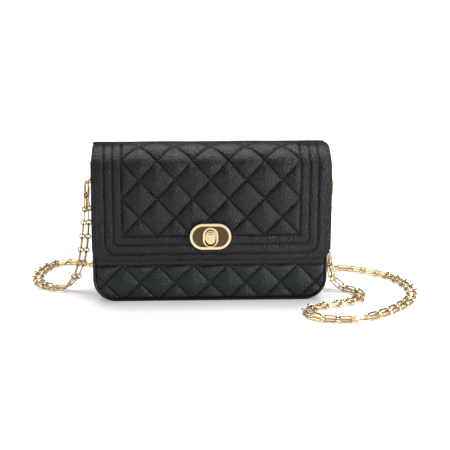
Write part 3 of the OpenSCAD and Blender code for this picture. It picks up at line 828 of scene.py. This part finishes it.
# ---------------------------------------------------------------- hinge
def build_hinge():
    """The strip that hinges the flap: up the back, over the top back edge, on to the flap."""
    half, low = 95.6, 97
    turn_y, turn_z, turn_r = 14.9, 119.5, 7.45
    # centre line in y, z
    line = [(turn_y + turn_r, z) for z in np.linspace(low, turn_z, 30)]
    line += [(turn_y + turn_r * math.cos(a), turn_z + turn_r * math.sin(a))
             for a in np.linspace(0, math.pi / 2, 26)[1:]]
    line += [(y, turn_z + turn_r + (turn_y - y) * 0.05) for y in np.linspace(14.0, 9.6, 8)]
    line = np.array(line)
    along = np.gradient(line, axis=0)
    along /= np.linalg.norm(along, axis=1)[:, None]
    normals = np.stack([along[:, 1], -along[:, 0]], 1)
    run = np.cumsum(np.r_[0, np.linalg.norm(np.diff(line, axis=0), axis=1)])

    i, across = np.meshgrid(np.arange(len(line)), np.linspace(-1, 1, 240), indexing="ij")
    at = run[i]
    x = across * (half - 1.6 * ease((20 - at) / 20))
    edge = np.minimum(np.minimum(half - np.abs(x), at), run[-1] - at + 0.6)
    height = (0.14 * wob(x * 0.9, at * 2.0) + 0.22) * rise(edge, 0.8)
    height = height - 0.16 * np.exp(-((edge - 2.0) / 0.5) ** 2)
    outer, inner = [np.stack([x, line[i][..., 0] + normals[i][..., 0] * h,
                              line[i][..., 1] + normals[i][..., 1] * h], -1)
                    for h in (height, -1.0)]
    verts, faces = sheet(outer, inner)
    strip = make_object("flap_hinge_leather", verts, flipped(faces), GUSSET_LEATHER)

    def place(x, v):
        y, z = [float(np.interp(v, run, line[:, k])) for k in (0, 1)]
        normal_y, normal_z = [float(np.interp(v, run, normals[:, k])) for k in (0, 1)]
        return (x, y + normal_y * 0.25, z + normal_z * 0.25), (0, normal_y, normal_z)

    stitches = []
    for v in (2.0, 5.0, run[-1] - 1.4):
        stitches += stitch([(x, v) for x in np.arange(-92, 92.5, 1.0)], place, pitch=3.0)
    thread = stitching("flap_hinge_stitching", stitches)
    for ob in (strip, thread):
        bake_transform(ob)
    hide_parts("hinge_strip")


# ---------------------------------------------------------------- CAD pieces
BRUSHED_PIECES = {"zip_teeth", "left_eyelet_washer", "right_eyelet_washer", "left_anchor_bar",
                  "right_anchor_bar", "lock_base_screws", "lock_spindle", "lock_washer",
                  "lock_plate_backing", "lock_plate_rivets"}
# every other piece is polished gilt
CAD_MATERIALS = {
    **dict.fromkeys(("front_board", "back_board", "base_board"), BOARD),
    **dict.fromkeys(BRUSHED_PIECES, BRUSHED_GILT),
    "lock_plate": PLATE_GILT}
# bevel widths, mm
BEVELS = {"lock_plate": 0.34, "turn_knob": 0.42, "lock_base": 0.25,
          "left_eyelet": 0.35, "right_eyelet": 0.35, "zip_slider": 0.2, "zip_pull": 0.22,
          "left_eyelet_washer": 0.15, "right_eyelet_washer": 0.15}


def finish_cad_pieces():
    for name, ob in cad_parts.items():
        ob.data.materials.clear()
        ob.data.materials.append(CAD_MATERIALS.get(name, POLISHED_GILT))
        if name in BEVELS:
            bevel = ob.modifiers.new("edge", "BEVEL")
            bevel.width = BEVELS[name] / 1000
            bevel.segments = 3
            bevel.limit_method = "ANGLE"
            bevel.angle_limit = math.radians(35)
        if name.endswith(("_rings", "_links")):
            # plating rounds the wire out a little
            plating = ob.modifiers.new("plating", "DISPLACE")
            plating.strength = 0.00026
            plating.mid_level = 0.5


# ---------------------------------------------------------------- stage, metres
def build_floor():
    """A white floor that glows to the camera, more so away from the bag."""
    material, tree, shader = new_material("floor")
    distance = add_node(tree, "VectorMath", {0: object_coords(tree)}, operation="LENGTH")
    glow = remap(tree, distance.outputs["Value"], from_range=(0.1, 0.9), to_range=(0.22, 1.0))
    camera_ray = add_node(tree, "LightPath", {}).outputs["Is Camera Ray"]
    seen = add_node(tree, "Math", {0: glow, 1: camera_ray}, operation="MULTIPLY")
    set_inputs(tree, shader, {
        "Base Color": (0.9, 0.9, 0.9, 1), "Roughness": 0.9, "Specular IOR Level": 0.1,
        "Emission Color": (1, 1, 1, 1), "Emission Strength": seen.outputs[0]})
    half, z = 4, -0.0003
    data = bpy.data.meshes.new("floor")
    corners = [(-half, -half, z), (half, -half, z), (half, half, z), (-half, half, z)]
    data.from_pydata(corners, [], [(0, 1, 2, 3)])
    floor = add_to_scene("floor", data)
    data.materials.append(material)


def build_world():
    """White to the camera; to all else a dim light that grows with height."""
    world = bpy.data.worlds.new("studio")
    bpy.context.scene.world = world
    world.use_nodes = True
    tree = world.node_tree
    backdrop = tree.nodes["Background"]
    set_inputs(tree, backdrop, {"Color": (1.0, 1.0, 1.0, 1), "Strength": 1.05})
    coords = add_node(tree, "TexCoord", {}).outputs["Generated"]
    z = add_node(tree, "SeparateXYZ", {0: coords}).outputs["Z"]
    strength = remap(tree, z, from_range=(-0.1, 0.9), to_range=(0.03, 0.24))
    fill = add_node(tree, "Background", {"Strength": strength})
    camera_ray = add_node(tree, "LightPath", {}).outputs["Is Camera Ray"]
    mix = add_node(tree, "MixShader", {"Fac": camera_ray, 1: fill.outputs[0],
                                       2: backdrop.outputs[0]})
    set_inputs(tree, tree.nodes["World Output"], {"Surface": mix.outputs[0]})


def aim(ob, location, target):
    ob.location = location
    ob.rotation_euler = (Vector(target) - Vector(location)).to_track_quat("-Z", "Y").to_euler()


def softbox(name, location, target_z, size, power):
    light = bpy.data.lights.new(name, "AREA")
    light.shape = "RECTANGLE"
    light.size, light.size_y = size
    light.energy = power
    ob = add_to_scene(name, light)
    aim(ob, location, (0, 0, target_z))


def build_lights():
    softbox("top_softbox", (0.05, 0.2, 0.95), target_z=0.06, size=(1.1, 0.45), power=13)
    softbox("left_softbox", (-0.85, -0.35, 0.6), target_z=0.07, size=(0.25, 0.6), power=2)
    softbox("right_softbox", (0.75, -0.55, 0.75), target_z=0.07, size=(0.22, 0.5), power=3.0)
    softbox("right_low_strip", (0.86, -0.62, 0.11), target_z=0.06, size=(0.14, 0.20), power=9.0)


def build_camera():
    data = bpy.data.cameras.new("cam")
    data.sensor_width = 36
    data.lens = 96.2
    data.shift_x = 0.0347
    data.shift_y = -0.0131
    data.clip_start = 0.01
    camera = add_to_scene("cam", data)
    azimuth, elevation, distance = math.radians(-2), math.radians(15), 1.0
    target = Vector((0, 0, 0.064))
    direction = Vector((math.sin(azimuth) * math.cos(elevation),
                        -math.cos(azimuth) * math.cos(elevation), math.sin(elevation)))
    aim(camera, target + direction * distance, target)
    bpy.context.scene.camera = camera


build_flap()
build_panels()
build_gusset()
build_lining()
build_zip_tapes()
build_rolled_edges()
build_mouth_binding()
build_mouth_facings()
build_hinge()
finish_cad_pieces()
build_floor()
build_world()
build_lights()
bpy.context.scene.view_settings.view_transform = "Standard"
build_camera()
